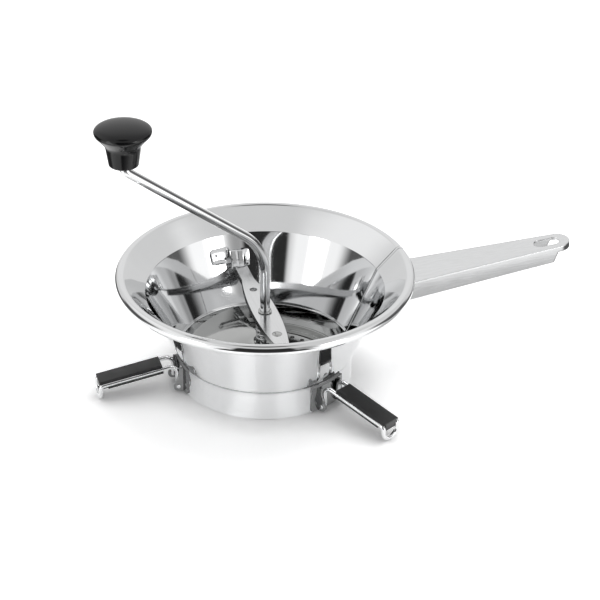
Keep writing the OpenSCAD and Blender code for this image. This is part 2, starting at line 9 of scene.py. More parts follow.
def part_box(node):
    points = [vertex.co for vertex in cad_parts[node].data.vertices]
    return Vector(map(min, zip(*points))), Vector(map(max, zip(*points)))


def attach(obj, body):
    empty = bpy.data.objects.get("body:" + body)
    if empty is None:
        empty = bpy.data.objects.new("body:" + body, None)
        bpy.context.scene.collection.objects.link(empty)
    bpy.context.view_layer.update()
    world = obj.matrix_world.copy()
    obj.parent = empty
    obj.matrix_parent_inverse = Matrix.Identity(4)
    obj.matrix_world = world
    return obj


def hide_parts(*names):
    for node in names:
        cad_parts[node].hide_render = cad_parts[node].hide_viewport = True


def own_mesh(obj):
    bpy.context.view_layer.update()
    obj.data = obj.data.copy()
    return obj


bl_info = {
    "name": "Food Mill",
    "version": (1, 0, 0),
    "blender": (4, 5, 0),
    "location": "View3D > Sidebar > Food Mill",
    "description": "Builds a hand-cranked food mill piece by piece on its packed frame",
    "category": "Add Mesh",
}

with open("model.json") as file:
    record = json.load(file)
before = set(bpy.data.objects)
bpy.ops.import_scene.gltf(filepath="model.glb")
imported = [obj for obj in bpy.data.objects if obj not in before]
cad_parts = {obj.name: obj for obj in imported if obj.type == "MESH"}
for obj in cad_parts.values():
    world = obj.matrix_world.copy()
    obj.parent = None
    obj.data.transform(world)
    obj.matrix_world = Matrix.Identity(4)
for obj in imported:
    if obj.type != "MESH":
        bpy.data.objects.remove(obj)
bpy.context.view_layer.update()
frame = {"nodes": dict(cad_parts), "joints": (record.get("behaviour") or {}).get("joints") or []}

MM = 0.001
UP = Vector((0, 0, 1))


def joint_point(name):
    """The point on a joint's axis that the frame states."""
    return Vector(next(j["pos_m"] for j in frame["joints"] if j["name"] == name))


# Places that the pieces share with the frame
BOWL_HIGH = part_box("bowl_shell")[1]
BAR_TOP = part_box("crossbar")[1].z
KNOB_LOW, KNOB_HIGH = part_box("knob")
HUB_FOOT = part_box("blade_hub")[0].z
HOOK_LOW, HOOK_HIGH = (corner.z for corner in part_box("hook_1"))

# Bowl: how far the step's slope rises, the radius of the sheet's bends, how far the rim is rolled, the
# height of a row of faces, and where the weld lies, in degrees round from the handle
STEP_RISE = 1.6 * MM
SHEET_BEND_R = 0.6 * STEP_RISE
CURL_TURN = -215
ROW_H = 6 * MM
WELD_AT = 4.0
# Across the weld: from, to, soft edge
WELD_RIDGE = (-0.7 * MM, 0.7 * MM, 0.5 * MM)
LEFT_GROOVE = (-1.35 * MM, -0.85 * MM, 0.25 * MM)
RIGHT_GROOVE = (0.9 * MM, 1.2 * MM, 0.2 * MM)

# Hook, by the middle of its sheet: how far in from the wall its plate and its strap lie, and how far
# along the wall the plate ends, turns in to the strap, and the strap ends
HOOK_T = 1.2 * MM
PLATE_IN = 0.65 * MM
STRAP_IN = 6.65 * MM
PLATE_END = 13 * MM
TURN_IN_AT = 0.6 * MM
STRAP_END = -12.6 * MM
HOOK_BEND_R = 0.9 * MM
# The strap's hump: where it starts and ends, the length of its slopes and its height; and how far the
# strap's end dips back to the wall
HUMP_FROM = -2.8 * MM
HUMP_TO = -9.6 * MM
HUMP_SLOPE = 1.8 * MM
HUMP_HIGH = MM
STRAP_DIP = 0.4 * MM
# How far its claw drops below the plate, and how far round the wall it stands from the crossbar
CLAW_DROP = 1.8 * MM
HOOK_ASIDE = 5.8 * MM
# Its spot welds: along the plate and up from the claw's foot, and how far in from the wall
SPOT_WELDS = ((9.4 * MM, 7.8 * MM), (3.2 * MM, 4.9 * MM))
SPOT_IN = 1.3 * MM

# Crank: the height where shaft and arm would cross, the radius of the bends at the shaft and under the
# knob, and how far the rod reaches into the knob
CRANK_CORNER_Z = 94.5 * MM
CRANK_BEND_R = 42 * MM
KNOB_BEND_R = 7 * MM
ROD_IN_KNOB = 19 * MM

# Knob: radii of the foot and of its edge, the neck as radius and height and its bend, the height of the
# dome, the shoulder's drop below it and its bend, and the bore's radius and how much of it is modelled
KNOB_FOOT_R = 9.3 * MM
KNOB_EDGE_R = 0.8 * MM
KNOB_NECK = Vector((11.2, 13.2)) * MM
NECK_BEND_R = 9 * MM
KNOB_DOME = 4.4 * MM
SHOULDER_DROP = 1.3 * MM
SHOULDER_BEND_R = 3 * MM
KNOB_BORE_R = 3.4 * MM
KNOB_BORE_DEEP = 3 * MM

# Legs: their turns about the bowl, half the distance between the wire's sides and half the length over
# its pins, and the heights of the knee and of the bend into the foot
LEGS = (1, 2, 3)
LEG_TURNS = tuple(math.radians(a) for a in (60, 180, -60))
LEG_HALF_W = 6.2 * MM
PIN_HALF_W = 9.6 * MM
KNEE_Z = 19.4 * MM
FOOT_BEND_Z = 11.3 * MM
LEG_BEND_RS = (1.8 * MM, 5 * MM, 2.5 * MM)  # at the pin, the knee and the foot

# Studio: the floor's width, the soft box, and the camera's aim, direction, distance and lens
FLOOR_W = 12
LAMP_AT = Vector((0.7, 0.6, 1.7))
LAMP_AIM = Vector((0, 0, 0.05))
LAMP_WATTS = 12
LAMP_W = 1.5
CAMERA_AIM = Vector((0, 0, 49.35 * MM))
CAMERA_TURN = math.radians(-15)
CAMERA_PITCH = math.radians(30.3)
CAMERA_AWAY = 1.4805
LENS_MM = 137.08
LENS_SHIFT = (0.0583, 0.0137)

# Tones: of the floor's paper, of the room low and high up, of the light on matt things, of the backdrop
PAPER_TONES = (1.53, 1.56)
ROOM_TONES = (0.82, 0.78)
AMBIENT_TONE = 0.7
BACKDROP_TONE = 1.1
# The strip of floor that the handle's side mirrors, painted darker only in what steel mirrors as a painted
# reflection; its tone, and along X and Y: from, to, soft edge
PAINTED_STRIP_TONE = 0.68
PAINTED_STRIP_X = (0.11, 0.27, 0.03)
PAINTED_STRIP_Y = (-0.117, -0.02, 0.012)
# Painted contact shadow: how far off the mill darkens the floor's colour where it stands, and to which share
# of its tone
PAINTED_SHADOW_REACH = 0.03
PAINTED_SHADOW_SHARE = 0.5

# The turn about Z that brings the front of the studio to nought degrees
FRONT_TURN = math.radians(105)
# What steel mirrors of the studio, in degrees round from the front and up from the floor:
# left, right, low, top, soft side, soft top, tone
STUDIO_PANELS = (
    (-135, -45, 26, 58, 14, 10, 1.10),
    (60, 98, 28, 48, 10, 8, 1.06),
    (148, 200, 14, 52, 12, 8, 0.95),
    (-200, -148, 14, 52, 12, 8, 0.95),
    (-200, 200, 79, 100, 8, 5, 0.05),
    (-78, -28, -20, 27, 5, 4, 1.22),
    (38, 78, -20, 25, 5, 4, 1.3),
    (-60, -47, 8, 22, 5, 5, 9.0),
    (44, 57, 8, 22, 5, 5, 9.0),
    (-124, -84, -20, 17, 6, 5, 0.12),
    (84, 124, -20, 19, 6, 5, 0.14),
    (20, 36, -20, 40, 7, 6, 0.42),
    (-23, 22, -20, 48, 2.5, 5, 0.03),
)
# Painted reflections on the floor, seen only in what steel mirrors: bright and dark patches for the studio's
# lamps and flags, placed as the panels above: left, right, near, far, soft side, soft distance in metres,
# tone
PAINTED_FLOOR_REFLECTIONS = (
    (-26, -8, 0, 0.20, 6, 0.04, 1.95),
    (10, 25, 0, 0.20, 6, 0.04, 1.85),
    (-150, -84, 0.24, 9, 8, 0.06, 0.12),
    (84, 150, 0.24, 9, 8, 0.06, 0.12),
    (-30, 30, 0.22, 9, 5, 0.05, 0.05),
    (-64, -42, 0.36, 1.1, 4, 0.06, 4.0),
    (42, 60, 0.36, 1.1, 4, 0.06, 4.0),
)


# ---------------------------------------------------------------- settings

class FoodMillSizes(bpy.types.PropertyGroup):
    """Sizes of the mill that its builder would change."""

    bowl_t: bpy.props.FloatProperty(
        name="Bowl sheet", description="Thickness of the bowl's sheet",
        default=0.8 * MM, unit="LENGTH")
    rim_curl_r: bpy.props.FloatProperty(
        name="Rim curl", description="Radius of the rolled rim, at the middle of the sheet",
        default=3.2 * MM, unit="LENGTH")
    throat_r: bpy.props.FloatProperty(
        name="Throat radius", description="Outer radius where the cone opens into the flare",
        default=78 * MM, unit="LENGTH")
    throat_z: bpy.props.FloatProperty(
        name="Throat height", description="Height where the cone opens into the flare",
        default=64 * MM, unit="LENGTH")
    cone_foot_r: bpy.props.FloatProperty(
        name="Cone foot radius", description="Outer radius of the cone's foot",
        default=57.8 * MM, unit="LENGTH")
    step_z: bpy.props.FloatProperty(
        name="Step height", description="Height of the step between the band and the cone",
        default=20 * MM, unit="LENGTH")
    band_r: bpy.props.FloatProperty(
        name="Band radius", description="Outer radius of the straight band",
        default=56.8 * MM, unit="LENGTH")
    lip_r: bpy.props.FloatProperty(
        name="Lip radius", description="Inner radius of the lip under the disc",
        default=49 * MM, unit="LENGTH")
    rod_d: bpy.props.FloatProperty(
        name="Rod diameter", description="Diameter of the crank's rod",
        default=6.5 * MM, unit="LENGTH")
    wire_d: bpy.props.FloatProperty(
        name="Wire diameter", description="Diameter of the legs' wire",
        default=3 * MM, unit="LENGTH")
    knob_d: bpy.props.FloatProperty(
        name="Knob diameter", description="Diameter of the knob's cap",
        default=35.4 * MM, unit="LENGTH")


class FoodMillFinish(bpy.types.PropertyGroup):
    """Colours and gloss of the mill's finishes."""

    steel: bpy.props.FloatVectorProperty(
        name="Steel", description="Colour of the polished sheet",
        subtype="COLOR", default=(0.745, 0.75, 0.755))
    # The inner steel is darker than the steel, as painted shade for the inside of the bowl
    inner_steel: bpy.props.FloatVectorProperty(
        name="Inner steel", description="Colour of the blade, the disc and the hub",
        subtype="COLOR", default=(0.47, 0.475, 0.47))
    knob: bpy.props.FloatVectorProperty(
        name="Knob", description="Colour of the glossy knob",
        subtype="COLOR", default=(0.004, 0.004, 0.0045))
    grip: bpy.props.FloatVectorProperty(
        name="Grips", description="Colour of the legs' grips",
        subtype="COLOR", default=(0.011, 0.011, 0.0115))
    floor: bpy.props.FloatVectorProperty(
        name="Floor", description="Colour of the floor",
        subtype="COLOR", default=(0.93, 0.93, 0.93))


def sizes():
    """The mill's sizes in the scene."""
    return bpy.context.scene.food_mill_sizes


def finish():
    """The mill's finishes in the scene."""
    return bpy.context.scene.food_mill_finish


# ---------------------------------------------------------------- outlines

def arc(centre, radius, start, turn, steps):
    """Points on an arc in a plane, angles in degrees."""
    angles = [math.radians(start + turn * i / steps) for i in range(steps + 1)]
    return [Vector((centre[0] + radius * math.cos(a), centre[1] + radius * math.sin(a))) for a in angles]


def corner_of(before, corner, after):
    """The directions from a corner to the points on both sides, and half the angle between them."""
    u = (before - corner).normalized()
    v = (after - corner).normalized()
    return u, v, math.acos(max(-1, min(1, u.dot(v)))) / 2


def rounded(path, radius, steps=6):
    """A plane path with every inner corner replaced by an arc."""
    path = [Vector(p) for p in path]
    out = [path[0]]
    for before, corner, after in zip(path, path[1:], path[2:]):
        u, v, half = corner_of(before, corner, after)
        centre = corner + (u + v).normalized() * radius / math.sin(half)
        first = corner + u * radius / math.tan(half) - centre
        start = math.degrees(math.atan2(first.y, first.x))
        sign = -1 if u.x * v.y - u.y * v.x > 0 else 1
        out += arc(centre, radius, start, sign * (180 - 2 * math.degrees(half)), steps)
    return out + [path[-1]]


# ---------------------------------------------------------------- modelling by operator

def begin(add, **how):
    """Adds a primitive with nothing else selected, and opens it in edit mode."""
    bpy.ops.object.select_all(action="DESELECT")
    add(**how)
    piece = bpy.context.object
    bpy.ops.object.mode_set(mode="EDIT")
    bpy.ops.mesh.select_all(action="SELECT")
    return piece


def end():
    """Closes edit mode with the doubles merged and the faces turned outwards."""
    bpy.ops.mesh.select_all(action="SELECT")
    bpy.ops.mesh.remove_doubles(threshold=1e-6)
    bpy.ops.mesh.normals_make_consistent(inside=False)
    bpy.ops.object.mode_set(mode="OBJECT")


def place(piece, matrix=None):
    """Writes a piece's own place, and then a matrix, into its mesh."""
    piece.data.transform(piece.matrix_world)
    piece.matrix_world = Matrix.Identity(4)
    if matrix is not None:
        piece.data.transform(matrix)
    return piece


def only(piece):
    """Makes one piece the active and only selected one."""
    bpy.ops.object.select_all(action="DESELECT")
    piece.select_set(True)
    bpy.context.view_layer.objects.active = piece


def apply(piece, kind, **settings):
    """Adds a modifier, sets it and applies it."""
    only(piece)
    modifier = piece.modifiers.new(kind.title(), kind)
    for name, value in settings.items():
        setattr(modifier, name, value)
    bpy.ops.object.modifier_apply(modifier=modifier.name)
    return piece


def eased(piece, width, segments, limit):
    """Rounds a piece's edges that are sharper than a limit in degrees."""
    return apply(piece, "BEVEL", width=width, segments=segments, limit_method="ANGLE",
                 angle_limit=math.radians(limit))


def smooth(piece, angle):
    """Shades a piece smooth up to an angle between faces."""
    only(piece)
    bpy.ops.object.shade_smooth_by_angle(angle=math.radians(angle))
    return piece


def lathe(profile, segments):
    """A ring of vertices drawn up a profile of (radius, height) pairs, about the Z axis."""
    radius, height = profile[0]
    piece = begin(bpy.ops.mesh.primitive_circle_add, vertices=segments, radius=radius,
                  location=(0, 0, height))
    for (r0, z0), (r1, z1) in zip(profile, profile[1:]):
        bpy.ops.mesh.extrude_edges_move(TRANSFORM_OT_translate={"value": (0, 0, z1 - z0)})
        if r1 < 1e-7:
            bpy.ops.mesh.merge(type="CENTER")
            continue
        share = r1 / r0
        bpy.ops.transform.resize(value=(share, share, 1), center_override=(0, 0, z1))
    end()
    return place(piece)


def bent_rod(path, radii, diameter, sides, per_bend):
    """A round rod that follows a path of points, bent at each inner corner."""
    path = [Vector(p) for p in path]
    first = (path[1] - path[0]).normalized()
    piece = begin(bpy.ops.mesh.primitive_circle_add, vertices=sides, radius=diameter / 2,
                  fill_type="NGON", location=path[0],
                  rotation=first.to_track_quat("Z", "Y").to_euler())
    bpy.ops.mesh.select_mode(type="EDGE")
    at = path[0]
    for corner, after, radius in zip(path[1:], path[2:], radii):
        u, v, half = corner_of(at, corner, after)
        start = corner + u * radius / math.tan(half)
        centre = corner + (u + v).normalized() * radius / math.sin(half)
        bpy.ops.mesh.extrude_region_move(TRANSFORM_OT_translate={"value": start - at})
        axis = (start - centre).cross(-u).normalized()
        bpy.ops.mesh.spin(steps=per_bend, angle=-(math.pi - 2 * half), center=centre, axis=axis)
        at = corner + v * radius / math.tan(half)
    bpy.ops.mesh.extrude_region_move(TRANSFORM_OT_translate={"value": path[-1] - at})
    end()
    return place(piece)


def select_where(piece, test):
    """Selects the vertices whose place passes a test, and what joins them."""
    bpy.ops.object.mode_set(mode="OBJECT")
    for group in (piece.data.vertices, piece.data.edges, piece.data.polygons):
        for item in group:
            item.select = False
    for vertex in piece.data.vertices:
        vertex.select = test(vertex.co)
    bpy.ops.object.mode_set(mode="EDIT")
    bpy.ops.mesh.select_mode(type="VERT")


def copied(piece, name):
    """A copy of a piece with its own mesh."""
    twin = piece.copy()
    twin.data = piece.data.copy()
    twin.name = name
    bpy.context.scene.collection.objects.link(twin)
    return twin


def merged_copy(node, name):
    """A copy of a CAD node's mesh with its loose triangles joined into clean faces."""
    source = frame["nodes"][node]
    mesh = source.data.copy()
    mesh.materials.clear()
    piece = bpy.data.objects.new(name, mesh)
    bpy.context.scene.collection.objects.link(piece)
    only(piece)
    bpy.ops.object.mode_set(mode="EDIT")
    bpy.ops.mesh.select_all(action="SELECT")
    bpy.ops.mesh.remove_doubles(threshold=2e-6)
    bpy.ops.mesh.dissolve_limited(angle_limit=math.radians(0.5))
    bpy.ops.object.mode_set(mode="OBJECT")
    return piece


def dress(piece, name, material, body, slot, *nodes):
    """Names a finished piece, gives it its finish, and sets it on the frame."""
    piece.name = name
    piece.data.name = name
    piece.data.materials.clear()
    piece.data.materials.append(material)
    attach(piece, body)
    if nodes:
        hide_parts(*nodes)
    return piece


# ---------------------------------------------------------------- finishes

class Nodes:
    """A node tree with short ways to add and join its nodes."""

    def __init__(self, tree):
        self.tree = tree

    def node(self, kind, **settings):
        """Adds a node and sets its properties."""
        made = self.tree.nodes.new(kind)
        for name, value in settings.items():
            setattr(made, name, value)
        return made

    def link(self, source, target):
        """Joins an output to an input."""
        self.tree.links.new(source, target)

    def math(self, operation, a, b=0.0, c=0.0):
        """A math node on sockets or numbers."""
        made = self.node("ShaderNodeMath", operation=operation)
        for socket, value in zip(made.inputs, (a, b, c)):
            if isinstance(value, bpy.types.NodeSocket):
                self.link(value, socket)
            else:
                socket.default_value = value
        return made.outputs[0]

    def spread(self, value, low, high, start=0.3, stop=0.7, kind="LINEAR"):
        """A value mapped from start..stop onto low..high."""
        made = self.node("ShaderNodeMapRange", interpolation_type=kind)
        made.inputs["From Min"].default_value = start
        made.inputs["From Max"].default_value = stop
        made.inputs["To Min"].default_value = low
        made.inputs["To Max"].default_value = high
        self.link(value, made.inputs["Value"])
        return made.outputs[0]

    def between(self, value, low, high, soft):
        """One between two bounds and nought outside, with soft edges."""
        up = self.spread(value, 0, 1, low - soft, low + soft, "SMOOTHSTEP")
        down = self.spread(value, 1, 0, high - soft, high + soft, "SMOOTHSTEP")
        return self.math("MULTIPLY", up, down)

    def patch(self, value, mask, target):
        """A value drawn to a target where the mask is one."""
        return self.math("ADD", value, self.math("MULTIPLY", mask, self.math("SUBTRACT", target, value)))


class Finish(Nodes):
    """A procedural material, built from a principled shader and noise on object coordinates."""

    def __init__(self, name, colour, metallic, roughness):
        self.material = bpy.data.materials.new(name)
        self.material.use_nodes = True
        super().__init__(self.material.node_tree)
        self.shader = self.tree.nodes["Principled BSDF"]
        self.shader.inputs["Base Color"].default_value = (*colour, 1)
        self.shader.inputs["Metallic"].default_value = metallic
        self.shader.inputs["Roughness"].default_value = roughness
        self.place = self.node("ShaderNodeTexCoord").outputs["Object"]
        self.last_bump = None

    def stretched(self, scale):
        """Object coordinates scaled along each axis."""
        mapping = self.node("ShaderNodeMapping")
        mapping.inputs["Scale"].default_value = scale
        self.link(self.place, mapping.inputs["Vector"])
        return mapping.outputs[0]

    def polar(self, turn=0.0):
        """Distance from the Z axis, height and degrees round it, of object coordinates turned about it."""
        mapping = self.node("ShaderNodeMapping")
        mapping.inputs["Rotation"].default_value = (0, 0, turn)
        self.link(self.place, mapping.inputs["Vector"])
        parts = self.node("ShaderNodeSeparateXYZ")
        self.link(mapping.outputs[0], parts.inputs[0])
        x, y, z = parts.outputs
        square = self.math("ADD", self.math("MULTIPLY", x, x), self.math("MULTIPLY", y, y))
        side = self.math("MULTIPLY", self.math("ARCTAN2", y, x), math.degrees(1))
        return self.math("SQRT", square), z, side

    def turned(self, across, around):
        """Coordinates in which a noise draws out along circles about the Z axis."""
        radius, height, side = self.polar()
        made = self.node("ShaderNodeCombineXYZ")
        self.link(self.math("MULTIPLY", radius, across), made.inputs[0])
        self.link(self.math("MULTIPLY", height, across), made.inputs[1])
        self.link(self.math("MULTIPLY", side, around / math.degrees(1)), made.inputs[2])
        return made.outputs[0]

    def noise(self, vector, detail, scale=1.0):
        """A noise value over a vector."""
        made = self.node("ShaderNodeTexNoise")
        made.inputs["Scale"].default_value = scale
        made.inputs["Detail"].default_value = detail
        self.link(vector, made.inputs["Vector"])
        return made.outputs[0]

    def vary_roughness(self, value, low, high):
        """Drives the shader's roughness from a value."""
        self.link(self.spread(value, low, high), self.shader.inputs["Roughness"])

    def vary_colour(self, value, dark, light, shade=None):
        """Blends the base colour between two colours by a value, and then multiplies it by a shade."""
        made = self.node("ShaderNodeMix", data_type="RGBA")
        made.inputs["A"].default_value = (*dark, 1)
        made.inputs["B"].default_value = (*light, 1)
        self.link(self.spread(value, 0, 1), made.inputs["Factor"])
        colour = made.outputs["Result"]
        if shade is not None:
            scaled = self.node("ShaderNodeVectorMath", operation="SCALE")
            self.link(colour, scaled.inputs[0])
            self.link(shade, scaled.inputs["Scale"])
            colour = scaled.outputs[0]
        self.link(colour, self.shader.inputs["Base Color"])

    def near(self, points, reach):
        """One close to any of some points, falling to nought at a distance."""
        best = None
        for point in points:
            away = self.node("ShaderNodeVectorMath", operation="DISTANCE")
            away.inputs[1].default_value = point
            self.link(self.place, away.inputs[0])
            distance = away.outputs["Value"]
            best = distance if best is None else self.math("MINIMUM", best, distance)
        return self.spread(best, 1, 0, reach * 0.4, reach, "SMOOTHSTEP")

    def bump(self, value, strength, depth):
        """Adds relief from a value, on top of any before it."""
        made = self.node("ShaderNodeBump")
        made.inputs["Strength"].default_value = strength
        made.inputs["Distance"].default_value = depth
        self.link(value, made.inputs["Height"])
        if self.last_bump is not None:
            self.link(self.last_bump, made.inputs["Normal"])
        self.last_bump = made.outputs[0]
        self.link(self.last_bump, self.shader.inputs["Normal"])


def shaded(colour, share):
    """A colour times a share."""
    return tuple(c * share for c in colour)


def spun_steel(name):
    """Mirror-polished sheet with faint polishing lines round the bowl, its weld with darkened grooves, and a
    painted shade line along its folded step.
    """
    s = sizes()
    steel = tuple(finish().steel)
    f = Finish(name, steel, 1.0, 0.06)
    lines = f.noise(f.turned(2600, 0.7), detail=4)
    smudges = f.noise(f.place, scale=24, detail=4)
    radius, height, side = f.polar()
    weld = f.math("MULTIPLY", f.math("SUBTRACT", side, WELD_AT), math.radians(1))
    across = f.math("MULTIPLY", weld, radius)
    above = f.spread(height, 0, 1, s.step_z, s.step_z + MM)
    ridge = f.math("MULTIPLY", f.between(across, *WELD_RIDGE), above)
    grooves = f.math("ADD", f.between(across, *LEFT_GROOVE), f.between(across, *RIGHT_GROOVE))
    grooves = f.math("MULTIPLY", grooves, above)
    # A painted shade line along the outside of the folded step
    outside = f.spread(radius, 0, 1, s.band_r - 0.4 * MM, s.band_r - 0.2 * MM)
    step_shade_band = f.between(height, s.step_z - 0.8 * MM, s.step_z + 1.4 * MM, 0.9 * MM)
    fold = f.math("MULTIPLY", outside, step_shade_band)
    # The weld's darkened grooves and the painted shade along the step dim the colour
    seam_and_step_shade = f.math("ADD", f.math("MULTIPLY", grooves, 0.75), f.math("MULTIPLY", fold, 0.4))
    f.vary_roughness(f.math("MULTIPLY_ADD", lines, 0.35, f.math("MULTIPLY", smudges, 0.65)), 0.03, 0.075)
    f.vary_colour(smudges, shaded(steel, 0.965), steel, f.math("SUBTRACT", 1, seam_and_step_shade))
    f.bump(lines, 0.04, 0.04 * MM)
    f.bump(ridge, 0.8, 0.3 * MM)
    return f.material


def drawn_steel(name, scale, low, high, share=1.0, depth=0.06 * MM, spots=(), fold_r=0.0):
    """Bright steel with fine lines along the axis of the least scale, with any spot welds and soft folds."""
    steel = shaded(tuple(finish().steel), share)
    f = Finish(name, steel, 1.0, (low + high) / 2)
    lines = f.noise(f.stretched(scale), detail=4)
    smudges = f.noise(f.place, scale=60, detail=3)
    f.vary_roughness(f.math("MULTIPLY_ADD", lines, 0.5, f.math("MULTIPLY", smudges, 0.5)), low, high)
    shade = None
    if spots:
        dimple = f.near(spots, 1.05 * MM)
        shade = f.math("SUBTRACT", 1, f.math("MULTIPLY", dimple, 0.95))
        f.bump(dimple, 0.5, -0.3 * MM)
    if fold_r:
        fold = f.node("ShaderNodeBevel", samples=6)
        fold.inputs["Radius"].default_value = fold_r
        f.last_bump = fold.outputs[0]
    f.vary_colour(lines, shaded(steel, 0.92), steel, shade)
    f.bump(lines, 0.08, depth)
    return f.material


def pressed_steel(name):
    """Bright pressed sheet of the blade, the disc and the hub, in a steel colour darker than the bowl's as
    painted shade for the inside of the bowl.
    """
    steel = tuple(finish().inner_steel)
    f = Finish(name, steel, 1.0, 0.14)
    swirl = f.noise(f.turned(900, 1.5), detail=4)
    patches = f.noise(f.place, scale=70, detail=4)
    f.vary_roughness(f.math("MULTIPLY_ADD", swirl, 0.5, f.math("MULTIPLY", patches, 0.5)), 0.04, 0.1)
    f.vary_colour(patches, shaded(steel, 0.93), steel)
    f.bump(swirl, 0.08, 0.03 * MM)
    return f.material


def knob_plastic(name):
    """Deep black glossy plastic with a trace of orange peel."""
    black = tuple(finish().knob)
    f = Finish(name, black, 0.0, 0.12)
    f.shader.inputs["Specular IOR Level"].default_value = 0.28
    f.shader.inputs["Coat Weight"].default_value = 0.06
    f.shader.inputs["Coat Roughness"].default_value = 0.04
    peel = f.noise(f.place, scale=420, detail=2)
    wear = f.noise(f.place, scale=55, detail=5)
    f.vary_roughness(wear, 0.07, 0.14)
    f.vary_colour(wear, black, shaded(black, 1.6))
    f.bump(peel, 0.06, 0.05 * MM)
    return f.material


def grip_plastic(name):
    """Black moulded plastic with a fine grain."""
    black = tuple(finish().grip)
    f = Finish(name, black, 0.0, 0.45)
    grain = f.noise(f.place, scale=1900, detail=3)
    wear = f.noise(f.place, scale=120, detail=4)
    f.vary_roughness(wear, 0.36, 0.56)
    f.vary_colour(wear, shaded(black, 0.8), shaded(black, 1.5))
    f.bump(grain, 0.25, 0.06 * MM)
    return f.material


def shared(name, make, *args, **settings):
    """A material by name, made the first time it is asked for."""
    return bpy.data.materials.get(name) or make(name, *args, **settings)


# ---------------------------------------------------------------- pieces

def bowl_path():
    """The bowl's sheet from the lip to the rolled edge, through its middle."""
    s = sizes()
    half = s.bowl_t / 2
    curl = Vector((BOWL_HIGH.x - s.rim_curl_r - half, BOWL_HIGH.z - s.rim_curl_r - half))
    throat = Vector((s.throat_r - half, s.throat_z))
    away = curl - throat
    flare = math.atan2(away.y, away.x) + math.asin(s.rim_curl_r / away.length)
    flare_end = curl + s.rim_curl_r * Vector((-math.sin(flare), math.cos(flare)))
    path = rounded([(s.lip_r, half), (s.band_r - half, half), (s.band_r - half, s.step_z),
                    (s.cone_foot_r - half, s.step_z + STEP_RISE), throat, flare_end], SHEET_BEND_R)
    return path[:-1] + arc(curl, s.rim_curl_r, 90 + math.degrees(flare), CURL_TURN, 28)


class FOODMILL_OT_bowl(bpy.types.Operator):
    """Spins the bowl's sheet from the lip up to the rolled rim"""

    bl_idname = "foodmill.bowl"
    bl_label = "Bowl"

    def execute(self, context):
        path = bowl_path()
        dense = []
        for a, b in zip(path, path[1:]):
            steps = max(1, round((b - a).length / ROW_H))
            dense += [a.lerp(b, i / steps) for i in range(steps)]
        bowl = lathe([tuple(p) for p in dense + [path[-1]]], segments=192)
        apply(bowl, "SOLIDIFY", thickness=sizes().bowl_t, offset=0, use_even_offset=True)
        smooth(bowl, 40)
        dress(bowl, "bowl", shared("spun_steel", spun_steel), "bowl", "polished_steel", "bowl_shell")
        return {"FINISHED"}


def wall_radius(z):
    """Radius of the cone's inner face at a height."""
    s = sizes()
    half = s.bowl_t / 2
    foot = Vector((s.cone_foot_r - half, s.step_z + STEP_RISE))
    slope = (s.throat_r - half - foot.x) / (s.throat_z - foot.y)
    return foot.x + (z - foot.y) * slope - half * math.hypot(1, slope)


def hook_strip():
    """A hook unrolled: along the wall in X, in from it in Y, and up in Z."""
    low, high = HOOK_LOW + CLAW_DROP, HOOK_HIGH
    hump_in = STRAP_IN + HUMP_HIGH
    plan = rounded([
        (PLATE_END, PLATE_IN), (TURN_IN_AT, PLATE_IN), (TURN_IN_AT, STRAP_IN), (HUMP_FROM, STRAP_IN),
        (HUMP_FROM - HUMP_SLOPE, hump_in), (HUMP_TO + HUMP_SLOPE, hump_in), (HUMP_TO, STRAP_IN),
        (STRAP_END, STRAP_IN - STRAP_DIP),
    ], HOOK_BEND_R)
    # The plate comes in four lengths, so that it can follow the wall's curve
    plan = [Vector((PLATE_END * (1 - i / 4) + plan[1].x * i / 4, PLATE_IN)) for i in range(4)] + plan[1:]
    first = plan[1] - plan[0]
    piece = begin(bpy.ops.mesh.primitive_plane_add, size=1, rotation=(math.pi / 2, 0, 0),
                  location=((plan[0].x + plan[1].x) / 2, PLATE_IN, (low + high) / 2))
    bpy.ops.transform.resize(value=(first.length, 1, high - low), center_override=piece.location)
    select_where(piece, lambda co: co.x < 0)
    for a, b in zip(plan[1:], plan[2:]):
        bpy.ops.mesh.extrude_region_move(TRANSFORM_OT_translate={"value": (b.x - a.x, b.y - a.y, 0)})
    end()
    place(piece)
    only(piece)
    bpy.ops.object.mode_set(mode="EDIT")
    select_where(piece, lambda co: co.x > PLATE_END - 0.1 * MM)
    bpy.ops.mesh.bevel(offset=2.2 * MM, segments=5, affect="VERTICES")
    select_where(piece, lambda co: co.x < STRAP_END + 0.1 * MM)
    bpy.ops.mesh.bevel(offset=MM, segments=4, affect="VERTICES")
    select_where(piece, lambda co: co.z < low + 0.1 * MM and abs(co.x - TURN_IN_AT) < 0.02 * MM)
    bpy.ops.mesh.extrude_region_move(TRANSFORM_OT_translate={"value": (0, 0, -CLAW_DROP)})
    end()
    apply(piece, "SOLIDIFY", thickness=HOOK_T, offset=0, use_even_offset=True)
    return eased(piece, 0.12 * MM, segments=2, limit=50)


def on_wall(along, inward, z, turn):
    """The place of a point that lies along, in from and up the cone's wall."""
    around = turn + along / wall_radius(BAR_TOP)
    return Vector((math.cos(around), math.sin(around), 0)) * (wall_radius(z) - inward) + UP * z


class FOODMILL_OT_hooks(bpy.types.Operator):
    """Folds the two hooks that hold the crossbar down, and welds them to the wall"""

    bl_idname = "foodmill.hooks"
    bl_label = "Hooks"

    def execute(self, context):
        master = hook_strip()
        turns = [math.pi / 2 + math.pi * n + HOOK_ASIDE / wall_radius(BAR_TOP) for n in (0, 1)]
        spots = [on_wall(along, SPOT_IN, HOOK_LOW + up, turn) for turn in turns for along, up in SPOT_WELDS]
        steel = shared("hook_steel", drawn_steel, (300, 300, 1600), 0.05, 0.12, depth=0.03 * MM, spots=spots)
        for n, turn in zip((1, 2), turns):
            hook = copied(master, f"hook_{n}_piece")
            for vertex in hook.data.vertices:
                vertex.co = on_wall(*vertex.co, turn)
            smooth(hook, 40)
            dress(hook, f"hook_{n}_piece", steel, "bowl", "stamped_steel", f"hook_{n}")
        bpy.data.objects.remove(master)
        return {"FINISHED"}


